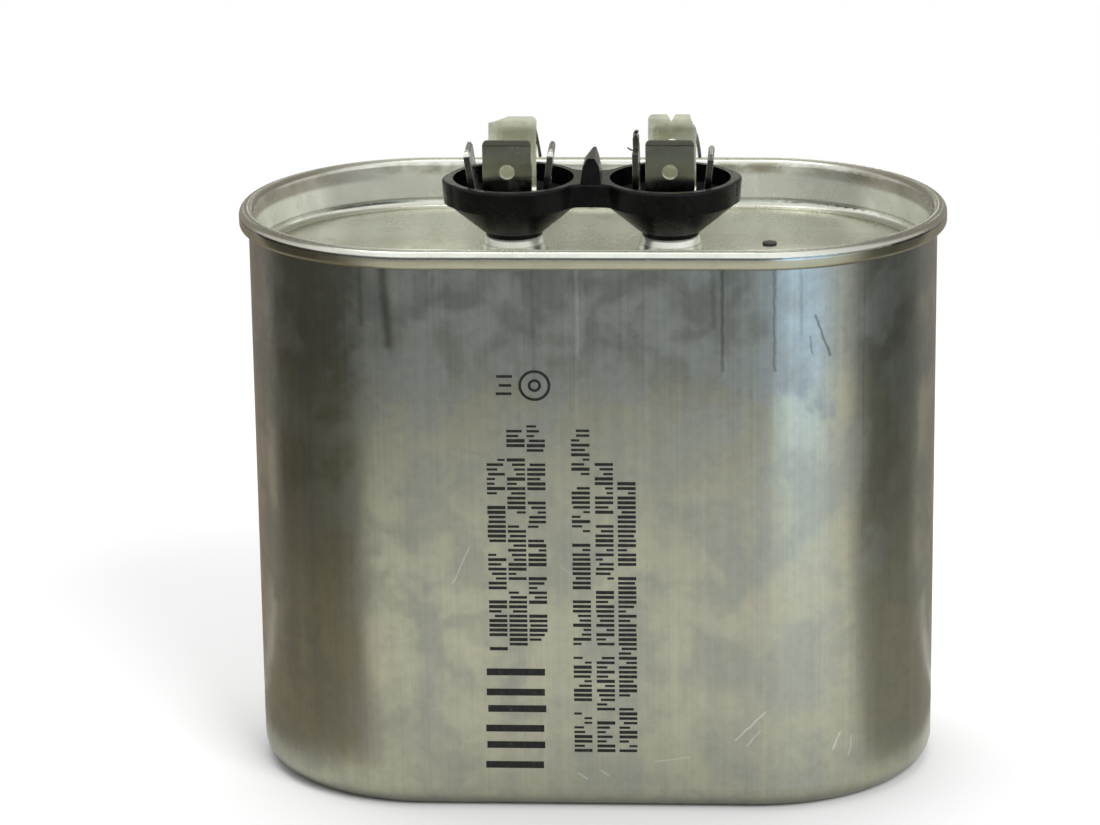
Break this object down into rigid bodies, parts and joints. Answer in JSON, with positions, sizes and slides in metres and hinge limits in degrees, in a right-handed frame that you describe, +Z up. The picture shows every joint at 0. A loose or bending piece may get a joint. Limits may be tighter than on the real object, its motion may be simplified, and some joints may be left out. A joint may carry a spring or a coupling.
{
  "type": "motor run capacitor",
  "caption": "Oval metal-cased motor run capacitor with a rolled top seam, a recessed lid and two groups of push-on tabs standing in a black twin cup.",
  "frame": {"origin": "centre of the can's base, where it stands", "axes": "+X along the long side of the oval, -Y the printed front, +Z up through the terminals"},
  "size_m": [0.093, 0.05, 0.0867],
  "materials": {
    "can_aluminium": "matte drawn metal, scuffed and stained",
    "tinned_steel": "bright tin, slightly cloudy",
    "tinned_tab": "tinned, tarnished",
    "black_moulding": "semi-matte black moulding",
    "dark_solder": "dull",
    "sealing_rubber": "matte",
    "pale_insulator": "matte",
    "plastic_film": "silvery film",
    "sprayed_zinc": "rough sprayed metal",
    "tinned_lead": "tinned"
  },
  "bodies": {
    "root": {"can": "can_aluminium", "lid": "tinned_steel", "seam_sealant": "sealing_rubber", "fill_plug": "dark_solder", "terminal_block": "black_moulding", "disconnect_plate": "pale_insulator", "film_roll": "plastic_film", "top_end_spray": "sprayed_zinc", "bottom_end_spray": "sprayed_zinc", "roll_wrap": "plastic_film", "roll_tray": "pale_insulator", "top_lead": "tinned_lead", "bottom_lead": "tinned_lead", "lead_sleeve": "pale_insulator", "side_tabs_left": "tinned_tab", "front_back_tabs_left": "tinned_tab", "terminal_rivet_left": "tinned_tab", "terminal_gasket_left": "sealing_rubber", "inner_insulator_left": "pale_insulator", "solder_lug_left": "tinned_lead", "side_tabs_right": "tinned_tab", "front_back_tabs_right": "tinned_tab", "terminal_rivet_right": "tinned_tab", "terminal_gasket_right": "sealing_rubber", "inner_insulator_right": "pale_insulator", "solder_lug_right": "tinned_lead"}
  },
  "joints": []
}
